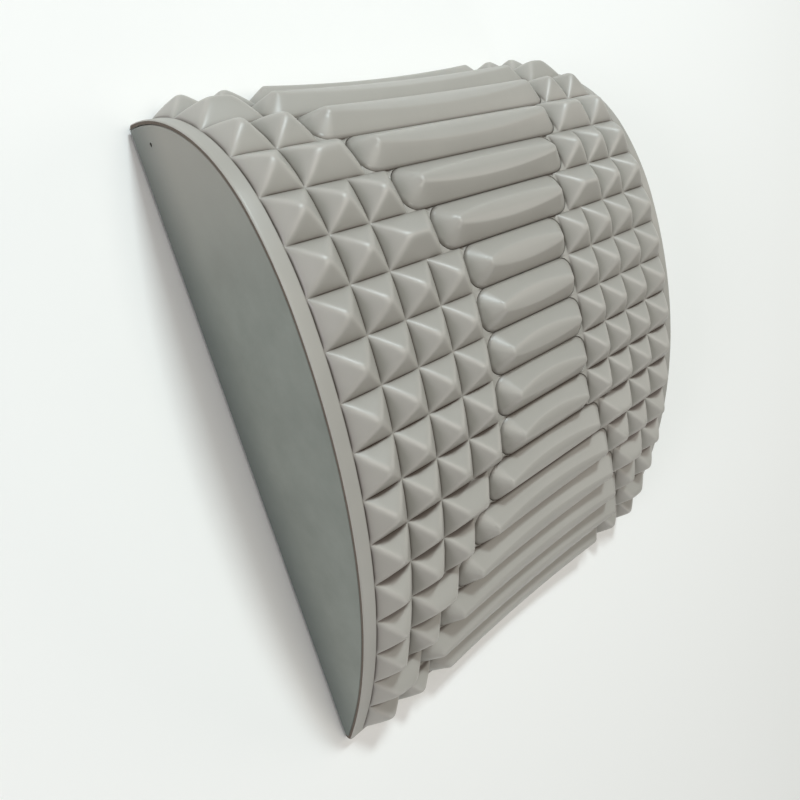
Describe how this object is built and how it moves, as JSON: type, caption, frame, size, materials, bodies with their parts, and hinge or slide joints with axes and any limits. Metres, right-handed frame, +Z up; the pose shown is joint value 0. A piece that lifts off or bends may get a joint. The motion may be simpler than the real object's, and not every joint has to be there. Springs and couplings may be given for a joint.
{
  "type": "lumbar stretch cushion",
  "caption": "Arched foam cushion for stretching the lower back, with a moulded mat of small pyramids and central bars over a flat base.",
  "frame": {"origin": "middle of the bounding box seen from above, on the floor under the base sheet", "axes": "+X from the steep heel to the long slope, along the spine; +Y across the back; +Z up"},
  "size_m": [0.3398, 0.2802, 0.0983],
  "materials": {
    "relief_foam": "soft satin moulded foam skin",
    "core_foam": "matte closed-cell foam",
    "panel_foam": "smooth satin foam sheet",
    "base_rubber": "matte non-slip sheet"
  },
  "bodies": {
    "root": {"massage_mat": "relief_foam", "core_block": "core_foam", "side_panel_left": "panel_foam", "side_panel_right": "panel_foam", "base_sheet": "base_rubber"}
  },
  "joints": []
}
